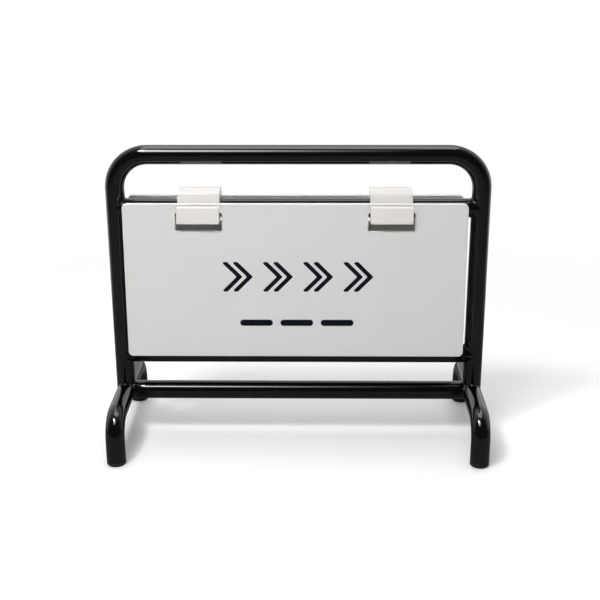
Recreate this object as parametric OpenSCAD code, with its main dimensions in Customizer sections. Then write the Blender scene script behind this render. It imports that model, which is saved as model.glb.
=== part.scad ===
// Small tabletop barricade sign: a bent tube frame with two hanging boards.
// The origin is on the floor, under the middle of the frame. X runs along the
// bars, the front board faces -Y, and Z points up. All lengths are millimetres.

/* [Tube frame] */
// Outer diameter of every tube
tube_d = 10; // [8:0.5:13]
// Wall of every tube
tube_wall = 1.2; // [0.8:0.1:2]
// Distance between the centre lines of the two uprights
upright_span = 190; // [184:1:260]
// Height from the floor to the top of the hoop
frame_h = 160.5; // [150:0.5:220]
// Centre-line radius of the two bends of the hoop
hoop_bend_r = 17.5; // [12:0.5:24]
// Drop from the centre of the top rail to the centre of the upper bar
upper_bar_drop = 28; // [24:0.5:40]
// Height of the centre of the middle bar
middle_bar_z = 46; // [40:0.5:60]
// Gap left for the weld where a tube is coped to another
cope_gap = 0.05; // [0.02:0.01:0.1]

/* [Runners and foot plugs] */
// Height of the centre of the runners and of the lower crossbar
runner_z = 24.2; // [23:0.1:32]
// Distance from the hoop to the centre line of each foot
foot_reach = 41; // [34:0.5:60]
// Centre-line radius of the bend above each foot
runner_bend_r = 11; // [8:0.5:13]
// Thickness of the plug's head, under the end of the tube
plug_head_t = 2; // [1:0.1:3]
// Bevel round the underside of the plug's head
plug_bevel = 0.5; // [0.2:0.1:0.8]
// Length of the plug's stem inside the tube
plug_stem_l = 7.5; // [5:0.5:8]
// Height of each barb on the stem
barb_h = 1.5; // [1:0.1:1.6]
// How far a barb stands out from the stem
barb_depth = 0.5; // [0.2:0.1:0.8]
// Radial play between the barbs and the tube's bore
plug_play = 0.05; // [0.02:0.01:0.1]

/* [Boards] */
// Width of each board
board_w = 177.4; // [150:0.2:180]
// Height of each board
board_h = 82.4; // [60:0.2:90]
// Thickness of each board
board_t = 3; // [2:0.1:3.4]
// Radius of the board's corners
board_corner_r = 2.5; // [1:0.1:8]
// Height of the strip of board above each slot
strip_h = 4.85; // [4.4:0.05:8]
// Radius of the slot's corners
slot_corner_r = 0.8; // [0.3:0.1:1.5]
// Play beside the hook in its slot
slot_side_play = 1.1; // [0.5:0.1:3]
// Play above the hook as it goes through its slot
slot_lift_play = 0.4; // [0.3:0.1:3]
// Lean of each board, with its foot outwards, in degrees
board_lean = 2.5; // [0:0.1:4]

/* [Hanger clips] */
// Width of each clip along the bar
clip_w = 21.8; // [14:0.2:28]
// Distance between the middles of the two clips
clip_spacing = 99.2; // [80:0.2:120]
// Sideways place of the hung set on the bar, from the middle
hanger_shift = -1.4; // [-5:0.1:5]
// Wall of the clip beside the bar
clip_wall = 2.2; // [1.6:0.1:3]
// Thickness of the clip above the bar
crown_t = 4.4; // [2:0.1:6]
// Radius of the rounded edges along the top of the clip
crown_r = 1; // [0.6:0.1:3]
// Radial running clearance between the clip and the bar
bar_clearance = 0.08; // [0.05:0.01:0.1]
// Drop from the centre of the bar to the board's seat
seat_drop = 0.15; // [0:0.05:1]
// Play between the clip's wall and the back of the board
seat_back_play = 0.92; // [0.9:0.01:2]
// Play between the front of the board and the lip
lip_play = 1; // [0.8:0.1:2]
// Thickness of the hook's lip
lip_t = 1.9; // [1.4:0.1:3]
// Height of the lip above the seat
lip_rise = 4.05; // [3:0.05:5]
// Depth of the hook's floor below the seat
floor_t = 5.15; // [4.6:0.05:7]
// Depth of the flat floor behind the sloping seat
seat_dip = 0.75; // [0.65:0.05:1.5]
// Radius of the corners of the lip and of the clip, seen from the front
clip_corner_r = 0.9; // [0.3:0.1:1.5]
// Radius of the toe under the lip
toe_r = 0.6; // [0.4:0.1:2]
// How far the mouth of the clip grips in under the bar, on each side
snap_grip = 0.8; // [0.3:0.1:1.2]
// How far each side of the mouth flares outwards at its foot
mouth_flare = 1.1; // [0.5:0.1:1.6]

/* [Hidden] */
$fn = 96;
left = -1;
right = 1;
front = -1;
rear = 1;
quarter_turn = 90;

// Running clearance between a board's corner and the slope that it rests on
seat_play = 0.05;
// Overrun of every cut, and overlap of shapes that are joined
overrun = 1;

tube_r = tube_d / 2;
tube_bore_r = tube_r - tube_wall;
rail_z = frame_h - tube_r;
upper_bar_z = rail_z - upper_bar_drop;
upright_x = upright_span / 2;
cope_r = tube_r + cope_gap;

plug_barb_r = tube_bore_r - plug_play;
plug_core_r = plug_barb_r - barb_depth;
barb_count = floor(plug_stem_l / barb_h) - 1;

// Places in the clip's section, as distances outwards from the bar's centre
bar_hole_r = tube_r + bar_clearance;
wall_y = bar_hole_r + clip_wall;
pivot_y = wall_y + seat_back_play + board_t;
lip_in_y = pivot_y + lip_play;
lip_out_y = lip_in_y + lip_t;
// Heights in the clip's section, from the bar's centre
seat_h = -seat_drop;
hook_foot_h = seat_h - floor_t;
lip_top_h = seat_h + lip_rise;
crown_h = bar_hole_r + crown_t;
slope_h = seat_h - seat_play * sqrt(2);
hook_h = lip_top_h - hook_foot_h;
mouth_y = tube_r - snap_grip;
mouth_h = -sqrt(pow(bar_hole_r, 2) - pow(mouth_y, 2));

slot_w = clip_w + 2 * slot_side_play;
slot_h = hook_h + slot_lift_play;

frame_colour = "#131518";
plug_colour = "#1f2124";
board_colour = "#dcdbda";
clip_colour = "#ece8e4";

// A tube's solid along Z, from one height to another
module rod_z(low, high, r) {
    translate([0, 0, low]) cylinder(h = high - low, r = r);
}

// A tube's solid along X, centred on the middle plane
module rod_x(length, r) {
    rotate([0, quarter_turn, 0]) cylinder(h = length, r = r, center = true);
}

// A quarter bend from the direction +Z, turning over towards +X, where the
// centre line starts at the origin
module bend(bend_r, r) {
    translate([bend_r, 0, 0]) rotate([quarter_turn, 0, 0])
        rotate([0, 0, quarter_turn]) rotate_extrude(angle = quarter_turn)
            translate([bend_r, 0]) circle(r = r);
}

// A round bar bent into an upside-down U in the plane of X and Z: two legs
// that stand at +-half_span from low to the bends, and the rail between them
module arch(half_span, low, crest_z, bend_r, r) {
    for (side = [left, right]) scale([side, 1, 1]) translate([-half_span, 0, 0]) {
        rod_z(low, crest_z - bend_r, r);
        translate([0, 0, crest_z - bend_r]) bend(bend_r, r);
    }
    translate([0, 0, crest_z]) rod_x(2 * (half_span - bend_r), r);
}

// The solid that an upright takes up, to cope the bars against it
module upright_cutter(side, low) {
    translate([side * upright_x, 0, 0]) rod_z(low, frame_h, cope_r);
}

// The solid that the straight part of a runner takes up
module runner_cutter(side) {
    translate([side * upright_x, 0, runner_z]) rotate([quarter_turn, 0, 0])
        cylinder(h = 2 * foot_reach, r = cope_r, center = true);
}

// The hoop: both uprights and the top rail, bent from one tube and coped to
// sit on the runners
module hoop() {
    color(frame_colour) difference() {
        arch(upright_x, runner_z, rail_z, hoop_bend_r, tube_r);
        arch(upright_x, runner_z - overrun, rail_z, hoop_bend_r, tube_bore_r);
        for (side = [left, right]) runner_cutter(side);
    }
}

// One runner: the foot tube of a side, bent down at both ends
module runner(side) {
    color(frame_colour) translate([side * upright_x, 0, 0]) rotate([0, 0, quarter_turn])
        difference() {
            arch(foot_reach, plug_head_t, runner_z, runner_bend_r, tube_r);
            arch(foot_reach, plug_head_t - overrun, runner_z, runner_bend_r, tube_bore_r);
        }
}

// A straight bar across the frame, coped to both uprights from low upwards
module cross_tube(z, low) {
    difference() {
        translate([0, 0, z]) rod_x(upright_span, tube_r);
        translate([0, 0, z]) rod_x(upright_span + overrun, tube_bore_r);
        for (side = [left, right]) upright_cutter(side, low);
    }
}

// A bar between the uprights
module upright_bar(z) {
    color(frame_colour) cross_tube(z, z - tube_d);
}

// The lower crossbar: its upper half meets the uprights and its lower half
// meets the runners
module lower_crossbar() {
    color(frame_colour) difference() {
        cross_tube(runner_z, runner_z);
        for (side = [left, right]) runner_cutter(side);
    }
}

// A push-in plug with a bevelled head under the tube and a barbed stem in it
module foot_plug(side, end) {
    color(plug_colour) translate([side * upright_x, end * foot_reach, 0]) {
        cylinder(h = plug_bevel, r1 = tube_r - plug_bevel, r2 = tube_r);
        rod_z(plug_bevel, plug_head_t, tube_r);
        rod_z(plug_bevel, plug_head_t + plug_stem_l, plug_core_r);
        for (i = [0:barb_count - 1]) translate([0, 0, plug_head_t + (i + 1) * barb_h])
            cylinder(h = barb_h, r1 = plug_barb_r, r2 = plug_core_r);
    }
}

// A rectangle with round corners, centred on X and standing on its lower edge
module round_plate(w, h, r) {
    translate([-w / 2, r]) square([w, h - 2 * r]);
    translate([-w / 2 + r, 0]) square([w - 2 * r, h]);
    for (x = [-w / 2 + r, w / 2 - r], y = [r, h - r]) translate([x, y]) circle(r = r);
}

// The two slots of a board, measured up from the seat
module slots() {
    for (side = [left, right]) translate([side * clip_spacing / 2, -slot_h])
        round_plate(slot_w, slot_h, slot_corner_r);
}

// A board, leaning on the lower front edge of the strip above its slots
module board(side) {
    color(board_colour)
        translate([hanger_shift, side * pivot_y, upper_bar_z + seat_h])
            scale([1, -side, 1]) rotate([-board_lean, 0, 0])
                translate([0, board_t, 0]) rotate([quarter_turn, 0, 0])
                    linear_extrude(board_t) difference() {
                        translate([0, strip_h - board_h])
                            round_plate(board_w, board_h, board_corner_r);
                        slots();
                    }
}

// Section of the saddle: a crowned block with the bar's hole and a mouth that
// grips in under the bar and flares at its foot
module saddle_section() {
    difference() {
        union() {
            translate([-wall_y, hook_foot_h])
                square([2 * wall_y, crown_h - crown_r - hook_foot_h]);
            translate([crown_r - wall_y, 0]) square([2 * (wall_y - crown_r), crown_h]);
            for (end = [front, rear]) translate([end * (wall_y - crown_r), crown_h - crown_r])
                circle(r = crown_r);
        }
        circle(r = bar_hole_r);
        polygon([
            [-mouth_y, 0], [mouth_y, 0], [mouth_y, mouth_h],
            [mouth_y + mouth_flare, hook_foot_h - cope_gap],
            [-mouth_y - mouth_flare, hook_foot_h - cope_gap], [-mouth_y, mouth_h]
        ]);
    }
}

// Section of one hook: floor, sloping seat, lip with a full-round top, and toe
module hook_section() {
    polygon([
        [wall_y - crown_r / 2, hook_foot_h], [lip_out_y - toe_r, hook_foot_h],
        [lip_out_y - toe_r, hook_foot_h + toe_r], [lip_out_y, hook_foot_h + toe_r],
        [lip_out_y, lip_top_h - lip_t / 2], [lip_in_y, lip_top_h - lip_t / 2],
        [lip_in_y, slope_h + lip_play], [pivot_y - seat_dip, slope_h - seat_dip],
        [wall_y - crown_r / 2, slope_h - seat_dip]
    ]);
    translate([lip_in_y + lip_t / 2, lip_top_h - lip_t / 2]) circle(r = lip_t / 2);
    translate([lip_out_y - toe_r, hook_foot_h + toe_r]) circle(r = toe_r);
}

// A section in Y and Z, extruded along the bar and trimmed to a front outline
// that has round corners and reaches from the hook's foot up to top
module clip_part(top) {
    intersection() {
        rotate([quarter_turn, 0, quarter_turn])
            linear_extrude(clip_w, center = true) children();
        rotate([quarter_turn, 0, 0]) linear_extrude(2 * lip_out_y + overrun, center = true)
            translate([0, hook_foot_h])
                round_plate(clip_w, top - hook_foot_h, clip_corner_r);
    }
}

// A one-piece clip: a saddle on the bar with a hook for a board on each side
module clip(side) {
    color(clip_colour)
        translate([hanger_shift + side * clip_spacing / 2, 0, upper_bar_z]) {
            clip_part(crown_h) saddle_section();
            for (end = [front, rear]) scale([1, end, 1]) clip_part(lip_top_h) hook_section();
        }
}

hoop();
runner(left);  // left_runner
runner(right);  // right_runner
lower_crossbar();
upright_bar(middle_bar_z);  // middle_bar
upright_bar(upper_bar_z);  // upper_bar
foot_plug(left, front);  // foot_plug_front_left
foot_plug(right, front);  // foot_plug_front_right
foot_plug(left, rear);  // foot_plug_rear_left
foot_plug(right, rear);  // foot_plug_rear_right
clip(left);  // clip_left
clip(right);  // clip_right
board(front);  // front_board
board(rear);  // rear_board
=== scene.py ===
"""The looks of a small tabletop barricade sign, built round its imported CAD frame.

A bent tube frame in gloss black enamel stands on four plugged feet and carries two
white plastic clips, and each clip carries a hook for a flat board on either side.
The origin is on the floor under the middle of the frame, X runs along the bars, the
front board faces -Y and Z points up. Sizes are in millimetres, and in the studio in
metres where the name of a value doesn't say otherwise.
"""
import logging
import math
from collections.abc import Callable, Iterator, Sequence
from contextlib import contextmanager
from dataclasses import dataclass, field
from enum import Enum

import bmesh
import bpy
from mathutils import Matrix, Vector


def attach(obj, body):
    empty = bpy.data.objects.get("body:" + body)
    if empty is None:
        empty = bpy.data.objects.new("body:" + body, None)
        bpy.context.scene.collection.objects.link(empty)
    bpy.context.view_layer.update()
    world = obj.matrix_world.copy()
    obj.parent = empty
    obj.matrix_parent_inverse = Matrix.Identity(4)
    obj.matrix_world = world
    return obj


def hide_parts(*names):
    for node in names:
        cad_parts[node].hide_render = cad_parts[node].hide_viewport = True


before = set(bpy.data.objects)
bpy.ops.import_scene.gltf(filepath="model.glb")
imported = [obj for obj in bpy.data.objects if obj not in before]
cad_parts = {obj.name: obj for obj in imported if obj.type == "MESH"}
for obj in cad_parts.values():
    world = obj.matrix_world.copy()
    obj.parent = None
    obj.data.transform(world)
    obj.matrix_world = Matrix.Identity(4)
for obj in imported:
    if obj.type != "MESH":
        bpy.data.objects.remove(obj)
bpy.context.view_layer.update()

LOG = logging.getLogger("barricade_sign")
MM = 0.001

# Distances in millimetres within which points are in one plane, the same, or on an axis
TOUCH = 0.01
MERGE = 0.002
ON_AXIS = 0.001

# Share of a whole normal, or of the plate's depth, that tells what faces or crosses the plate
FACING = 0.9

# Angle above which an edge gets its bevel
SHARP = math.radians(50)

Colour = tuple[float, float, float]
Place = tuple[float, float, float]
Point = tuple[float, float]
Band = tuple[float, float]
Corner = tuple[float, float, float]


class Side(Enum):
    """Side of the frame, as the sign of X."""

    LEFT = -1
    RIGHT = 1


class End(Enum):
    """End of a foot tube, or face of the sign, as the sign of Y."""

    FRONT = -1
    REAR = 1


class Body(Enum):
    """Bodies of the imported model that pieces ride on."""

    FRAME = "frame"
    CLIP_LEFT = "clip_left"
    CLIP_RIGHT = "clip_right"
    FRONT_BOARD = "front_board"
    REAR_BOARD = "rear_board"


class Slot(Enum):
    """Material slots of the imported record."""

    FRAME = "frame_black"
    PLUG = "plug_black"
    CLIP = "clip_white"
    BOARD = "board_white"


class Pick(Enum):
    """Kind of mesh element that is selected in edit mode."""

    EDGE = "EDGE"
    FACE = "FACE"


# Shader sockets and node graphs


class Socket:
    """An output socket on which arithmetic adds Math nodes."""

    def __init__(self, graph: "Graph", plug: bpy.types.NodeSocket) -> None:
        """Keeps the graph and the socket.

        Args:
            graph: The node graph that the socket belongs to.
            plug: The node's output socket.
        """
        self.graph = graph
        self.plug = plug

    def _math(self, operation: str, first: "Socket | float", second: "Socket | float") -> "Socket":
        """Adds one Math node.

        Args:
            operation: The Math node's operation.
            first: First value or link.
            second: Second value or link.

        Returns:
            The node's output.
        """
        return self.graph.add("ShaderNodeMath", {"operation": operation}, {0: first, 1: second})

    def __add__(self, other: "Socket | float") -> "Socket":
        """Sum of this and other."""
        return self._math("ADD", self, other)

    def __radd__(self, other: float) -> "Socket":
        """Sum of other and this."""
        return self._math("ADD", other, self)

    def __sub__(self, other: "Socket | float") -> "Socket":
        """This less other."""
        return self._math("SUBTRACT", self, other)

    def __rsub__(self, other: float) -> "Socket":
        """Other less this."""
        return self._math("SUBTRACT", other, self)

    def __mul__(self, other: "Socket | float") -> "Socket":
        """Product of this and other."""
        return self._math("MULTIPLY", self, other)

    def __rmul__(self, other: float) -> "Socket":
        """Product of other and this."""
        return self._math("MULTIPLY", other, self)

    def __truediv__(self, other: "Socket | float") -> "Socket":
        """This over other."""
        return self._math("DIVIDE", self, other)

    def __rtruediv__(self, other: float) -> "Socket":
        """Other over this."""
        return self._math("DIVIDE", other, self)

    def __pow__(self, other: "Socket | float") -> "Socket":
        """This to the power of other."""
        return self._math("POWER", self, other)

    def __rpow__(self, other: float) -> "Socket":
        """Other to the power of this."""
        return self._math("POWER", other, self)


@dataclass(frozen=True)
class Grain:
    """Make-up of a noise: cells to a metre, octaves, and share of each octave."""

    cells: float
    octaves: float = 2.0
    share: float = 0.5


class Graph:
    """A node graph that nodes are added to by one method."""

    def __init__(self, tree: bpy.types.NodeTree) -> None:
        """Starts the graph empty.

        Args:
            tree: The node tree of a material or of the world.
        """
        self.tree = tree
        self.tree.nodes.clear()

    def add(
        self,
        kind: str,
        settings: dict[str, object] | None = None,
        values: dict[str | int, object] | None = None,
        output: str | int = 0,
    ) -> Socket:
        """Adds a node, sets it up and fills its input sockets.

        Args:
            kind: Node type.
            settings: Node settings, such as a Math node's operation.
            values: Values or links of its input sockets, by name or number.
            output: Name or number of the output that is wanted.

        Returns:
            The output socket, or the first input of a node that has no outputs.
        """
        node = self.tree.nodes.new(kind)
        for name, value in (settings or {}).items():
            setattr(node, name, value)
        for name, value in (values or {}).items():
            if isinstance(value, Socket):
                self.tree.links.new(value.plug, node.inputs[name])
            else:
                node.inputs[name].default_value = value
        plugs = node.outputs if len(node.outputs) else node.inputs
        return Socket(self, plugs[output])

    def place(self) -> Socket:
        """Place on the piece, in metres."""
        return self.add("ShaderNodeTexCoord", output="Object")

    def axis(self, vector: Socket, name: str) -> Socket:
        """One component, X, Y or Z, of a vector."""
        return self.add("ShaderNodeSeparateXYZ", values={0: vector}, output=name)

    def ray(self, name: str) -> Socket:
        """One output of Light Path, such as Is Camera Ray."""
        return self.add("ShaderNodeLightPath", output=name)

    def noise(self, grain: Grain, place: Socket | None = None) -> Socket:
        """Adds a noise from 0 to 1.

        Args:
            grain: Its make-up.
            place: Where it is read, or None for the place on the piece.

        Returns:
            The noise value.
        """
        return self.add(
            "ShaderNodeTexNoise",
            values={
                "Vector": place or self.place(), "Scale": grain.cells,
                "Detail": grain.octaves, "Roughness": grain.share,
            },
            output="Fac",
        )

    def step(self, value: Socket, low: float, high: float) -> Socket:
        """Adds a smooth step from 0 at low to 1 at high.

        Args:
            value: The value that is mapped.
            low: Value at which the step starts.
            high: Value at which it ends.

        Returns:
            The step.
        """
        return self.add(
            "ShaderNodeMapRange",
            {"interpolation_type": "SMOOTHSTEP"},
            {"Value": value, "From Min": low, "From Max": high},
            "Result",
        )

    def blend(self, amount: Socket, first: Colour, second: Colour) -> Socket:
        """Adds a mix of two colours.

        Args:
            amount: Share of the second colour.
            first: First colour.
            second: Second colour.

        Returns:
            The mixed colour.
        """
        ends = {0: amount, 6: (*first, 1.0), 7: (*second, 1.0)}
        return self.add("ShaderNodeMix", {"data_type": "RGBA"}, ends, 2)

    def bump(self, height: Socket, strength: float, depth: float) -> Socket:
        """Adds a bump.

        Args:
            height: The height, from 0 to 1.
            strength: Strength of the bump.
            depth: Depth of the relief in metres.

        Returns:
            The bumped normal.
        """
        relief = {"Height": height, "Strength": strength, "Distance": depth}
        return self.add("ShaderNodeBump", values=relief, output="Normal")


def linear(level: float) -> float:
    """Linear value of an sRGB level from 0 to 255."""
    share = level / 255.0
    return share / 12.92 if share <= 0.04045 else ((share + 0.055) / 1.055) ** 2.4


def tone(red: float, green: float, blue: float) -> Colour:
    """Linear colour of three sRGB levels from 0 to 255."""
    return (linear(red), linear(green), linear(blue))


# Finishes


@dataclass(frozen=True)
class Finish:
    """A material of one Principled shader, between two tones of a colour."""

    name: str
    low: Colour
    high: Colour
    roughness: float
    ior: float = 1.46
    specular: float = 0.5

    def material(self) -> bpy.types.Material:
        """Makes the material.

        Returns:
            The material.
        """
        material = bpy.data.materials.new(self.name)
        material.use_nodes = True
        graph = Graph(material.node_tree)
        fixed = {"IOR": self.ior, "Specular IOR Level": self.specular}
        shader = graph.add("ShaderNodeBsdfPrincipled", values={**fixed, **self._shade(graph)})
        graph.add("ShaderNodeOutputMaterial", values={"Surface": shader})
        return material

    def _shade(self, graph: Graph) -> dict[str, object]:
        """Varying sockets of the shader by name, which each finish gives for itself."""
        raise NotImplementedError


@dataclass(frozen=True)
class Enamel(Finish):
    """Gloss black enamel on the tubes, with a faint orange peel and scuffed feet."""

    name: str = "gloss_black_enamel"
    low: Colour = tone(5, 5, 6)
    high: Colour = tone(9, 10, 11)
    roughness: float = 0.07
    ior: float = 1.6
    cloud: Grain = Grain(60.0, 3.0)
    cloud_matt: float = 0.05
    speck: Grain = Grain(1400.0, 1.0)
    speck_band: Band = (0.70, 0.80)
    speck_matt: float = 0.10
    scuff: Grain = Grain(380.0, 4.0)
    scuff_height: float = 5 * MM
    scuff_pale: float = 0.5
    scuff_matt: float = 0.30
    peel: Grain = Grain(520.0, 2.0, 0.45)
    peel_depth: float = 0.03 * MM
    peel_strength: float = 0.05
    ripple: Grain = Grain(1500.0)
    ripple_height: float = 0.0

    def _shade(self, graph: Graph) -> dict[str, object]:
        """Varying sockets of the enamel.

        Args:
            graph: The material's graph.

        Returns:
            The sockets, by name.
        """
        cloud = graph.noise(self.cloud)
        specks = graph.step(graph.noise(self.speck), *self.speck_band)
        height = graph.axis(graph.place(), "Z")
        scuff = (1.0 - graph.step(height, 0.0, self.scuff_height)) * graph.noise(self.scuff)
        matt = self.cloud_matt * cloud + self.speck_matt * specks + self.scuff_matt * scuff
        relief = graph.noise(self.peel) + self.ripple_height * graph.noise(self.ripple)
        return {
            "Base Color": graph.blend(cloud + self.scuff_pale * scuff, self.low, self.high),
            "Roughness": self.roughness + matt,
            "Normal": graph.bump(relief, self.peel_strength, self.peel_depth),
        }


@dataclass(frozen=True)
class Moulded(Finish):
    """Moulded plastic with a fine spark-eroded grain."""

    cloud: Grain = Grain(90.0, 4.0, 0.6)
    flow: Grain = Grain(420.0)
    flow_matt: float = 0.10
    flow_height: float = 0.4
    grain: Grain = Grain(4200.0, 2.0, 0.6)
    grain_matt: float = 0.06
    grain_depth: float = 0.012 * MM
    grain_strength: float = 0.35

    def _shade(self, graph: Graph) -> dict[str, object]:
        """Varying sockets of the plastic.

        Args:
            graph: The material's graph.

        Returns:
            The sockets, by name.
        """
        grain, flow = graph.noise(self.grain), graph.noise(self.flow)
        matt = self.flow_matt * (flow - 0.5) + self.grain_matt * (grain - 0.5)
        relief = grain + self.flow_height * flow
        return {
            "Base Color": graph.blend(graph.noise(self.cloud), self.low, self.high),
            "Roughness": self.roughness + matt,
            "Normal": graph.bump(relief, self.grain_strength, self.grain_depth),
        }


@dataclass(frozen=True)
class BoardFace(Finish):
    """Satin face of an off-white plastic sheet, with a fine grain and faint rubs."""

    name: str = "board_satin_face"
    low: Colour = tone(218, 218, 217)
    high: Colour = tone(225, 224, 223)
    roughness: float = 0.42
    cloud: Grain = Grain(28.0, 5.0, 0.55)
    cloud_matt: float = 0.08
    rub: Grain = Grain(1.0, 3.0)
    rub_cells: Place = (40.0, 40.0, 700.0)
    rub_band: Band = (0.62, 0.80)
    rub_gloss: float = 0.08
    grain: Grain = Grain(2600.0, 2.0, 0.55)
    grain_depth: float = 0.010 * MM
    grain_strength: float = 0.25

    def _shade(self, graph: Graph) -> dict[str, object]:
        """Varying sockets of the face.

        Args:
            graph: The material's graph.

        Returns:
            The sockets, by name.
        """
        cloud = graph.noise(self.cloud)
        stretch = {"Vector": graph.place(), "Scale": self.rub_cells}
        along = graph.add("ShaderNodeMapping", values=stretch, output="Vector")
        rubs = graph.step(graph.noise(self.rub, along), *self.rub_band)
        matt = self.cloud_matt * (cloud - 0.5) - self.rub_gloss * rubs
        return {
            "Base Color": graph.blend(cloud, self.low, self.high),
            "Roughness": self.roughness + matt,
            "Normal": graph.bump(graph.noise(self.grain), self.grain_strength, self.grain_depth),
        }


@dataclass(frozen=True)
class BoardEdge(Finish):
    """Routed edge of the plastic sheet with fine cutter marks; whiter than the face, partly for
    the cut and partly as a painted highlight.
    """

    name: str = "board_routed_edge"
    # Whiter than the face: partly the routed cut's own colour, partly painted highlight for the
    # top edge lit from above; it covers every edge and slot wall.
    low: Colour = tone(243, 243, 242)
    high: Colour = tone(248, 248, 247)
    roughness: float = 0.55
    mark_pitch: float = 0.35 * MM
    marks_per_scale: float = 0.32
    mark_wander: float = 1.2
    mark_depth: float = 0.02 * MM
    mark_strength: float = 0.3
    grain: Grain = Grain(2200.0, 3.0)
    grain_matt: float = 0.12
    grain_height: float = 0.5

    def _shade(self, graph: Graph) -> dict[str, object]:
        """Varying sockets of the edge.

        Args:
            graph: The material's graph.

        Returns:
            The sockets, by name.
        """
        marks = graph.add(
            "ShaderNodeTexWave", {"wave_type": "BANDS", "bands_direction": "DIAGONAL"},
            {
                "Vector": graph.place(), "Scale": self.marks_per_scale / self.mark_pitch,
                "Distortion": self.mark_wander,
            },
            "Fac",
        )
        grain = graph.noise(self.grain)
        relief = marks + self.grain_height * grain
        return {
            "Base Color": graph.blend(grain, self.low, self.high),
            "Roughness": self.roughness + self.grain_matt * (grain - 0.5),
            "Normal": graph.bump(relief, self.mark_strength, self.mark_depth),
        }


@dataclass(frozen=True)
class Ink(Finish):
    """Dark blue screen ink, satin, with the faint mesh of the screen."""

    name: str = "dark_blue_ink"
    low: Colour = tone(4, 11, 23)
    high: Colour = tone(8, 17, 31)
    roughness: float = 0.40
    ior: float = 1.45
    specular: float = 0.2
    cloud: Grain = Grain(160.0, 4.0, 0.6)
    cloud_matt: float = 0.06
    mesh: Grain = Grain(5200.0, 1.0)
    mesh_matt: float = 0.12
    mesh_depth: float = 0.008 * MM
    mesh_strength: float = 0.25

    def _shade(self, graph: Graph) -> dict[str, object]:
        """Varying sockets of the ink.

        Args:
            graph: The material's graph.

        Returns:
            The sockets, by name.
        """
        cloud, mesh = graph.noise(self.cloud), graph.noise(self.mesh)
        matt = self.mesh_matt * (mesh - 0.5) + self.cloud_matt * cloud
        return {
            "Base Color": graph.blend(cloud, self.low, self.high),
            "Roughness": self.roughness + matt,
            "Normal": graph.bump(mesh, self.mesh_strength, self.mesh_depth),
        }


# Hand operations


def let_go() -> None:
    """Leaves edit mode and deselects everything."""
    if bpy.context.object and bpy.context.object.mode != "OBJECT":
        bpy.ops.object.mode_set(mode="OBJECT")
    bpy.ops.object.select_all(action="DESELECT")


def hold(piece: bpy.types.Object) -> None:
    """Makes a piece the only selected and the active object.

    Args:
        piece: The piece.
    """
    let_go()
    piece.select_set(True)
    bpy.context.view_layer.objects.active = piece


def offset(x: float, y: float, z: float) -> Matrix:
    """Move by millimetres along X, Y and Z."""
    return Matrix.Translation(Vector((x, y, z)) * MM)


def name_piece(piece: bpy.types.Object, name: str) -> None:
    """Names a piece and its mesh."""
    piece.name = name
    piece.data.name = name


def settle(piece: bpy.types.Object) -> None:
    """Applies place, turn and scale, so that the object sits at the origin."""
    hold(piece)
    bpy.ops.object.transform_apply(location=True, rotation=True, scale=True)


def move_piece(piece: bpy.types.Object, move: Matrix) -> None:
    """Moves a piece and puts its new place into its mesh."""
    piece.matrix_world = move @ piece.matrix_world
    settle(piece)


def add_piece(name: str, operator: Callable[..., object], **settings: object) -> bpy.types.Object:
    """Adds a primitive and puts its place into its mesh.

    Args:
        name: Name of the piece.
        operator: The operator that adds the primitive.
        **settings: The operator's settings.

    Returns:
        The new piece.
    """
    let_go()
    operator(**settings)
    piece = bpy.context.object
    name_piece(piece, name)
    settle(piece)
    return piece


@contextmanager
def editing(piece: bpy.types.Object, everything: bool = False) -> Iterator[None]:
    """Holds a piece in edit mode.

    Args:
        piece: The piece.
        everything: Whether all of it is selected at the start.

    Yields:
        Nothing, while the piece is in edit mode.
    """
    hold(piece)
    bpy.ops.object.mode_set(mode="EDIT")
    if everything:
        bpy.ops.mesh.select_all(action="SELECT")
    try:
        yield
    finally:
        bpy.ops.object.mode_set(mode="OBJECT")


def pick(piece: bpy.types.Object, kind: Pick, test: Callable[..., bool]) -> None:
    """Selects the elements that pass a test, in edit mode.

    Args:
        piece: The piece that is in edit mode.
        kind: Edges or faces.
        test: Says whether an element is wanted.
    """
    bpy.ops.mesh.select_mode(type=kind.value)
    bpy.ops.mesh.select_all(action="DESELECT")
    shape = bmesh.from_edit_mesh(piece.data)
    shape.normal_update()
    for element in shape.edges if kind is Pick.EDGE else shape.faces:
        if test(element):
            element.select_set(True)
    shape.select_flush_mode()
    bmesh.update_edit_mesh(piece.data)


def extrude(x: float, y: float, z: float) -> None:
    """Extrudes what is selected by millimetres along X, Y and Z."""
    bpy.ops.mesh.extrude_region_move(TRANSFORM_OT_translate={"value": (x * MM, y * MM, z * MM)})


def modify(piece: bpy.types.Object, kind: str, **settings: object) -> None:
    """Adds a modifier to a piece and applies it.

    Args:
        piece: The piece.
        kind: Type of modifier.
        **settings: The modifier's settings.
    """
    hold(piece)
    modifier = piece.modifiers.new(kind.lower(), kind)
    for name, value in settings.items():
        setattr(modifier, name, value)
    bpy.ops.object.modifier_apply(modifier=modifier.name)


def heal(piece: bpy.types.Object) -> None:
    """Merges doubled vertices and turns all faces outwards.

    Args:
        piece: The piece.
    """
    with editing(piece, everything=True):
        bpy.ops.mesh.remove_doubles(threshold=MERGE * MM)
        bpy.ops.mesh.normals_make_consistent(inside=False)


def smooth(piece: bpy.types.Object, degrees: float = 35.0) -> None:
    """Shades a piece smooth, apart from edges sharper than an angle in degrees."""
    hold(piece)
    bpy.ops.object.shade_smooth_by_angle(angle=math.radians(degrees))


def copy_piece(piece: bpy.types.Object, name: str, move: Matrix) -> bpy.types.Object:
    """Copies a piece with its own mesh.

    Args:
        piece: The piece that is copied.
        name: Name of the copy.
        move: Where the copy goes, from the piece's place.

    Returns:
        The copy.
    """
    hold(piece)
    bpy.ops.object.duplicate(linked=False)
    made = bpy.context.object
    name_piece(made, name)
    move_piece(made, move)
    if move.determinant() < 0:
        heal(made)
    return made


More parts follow.
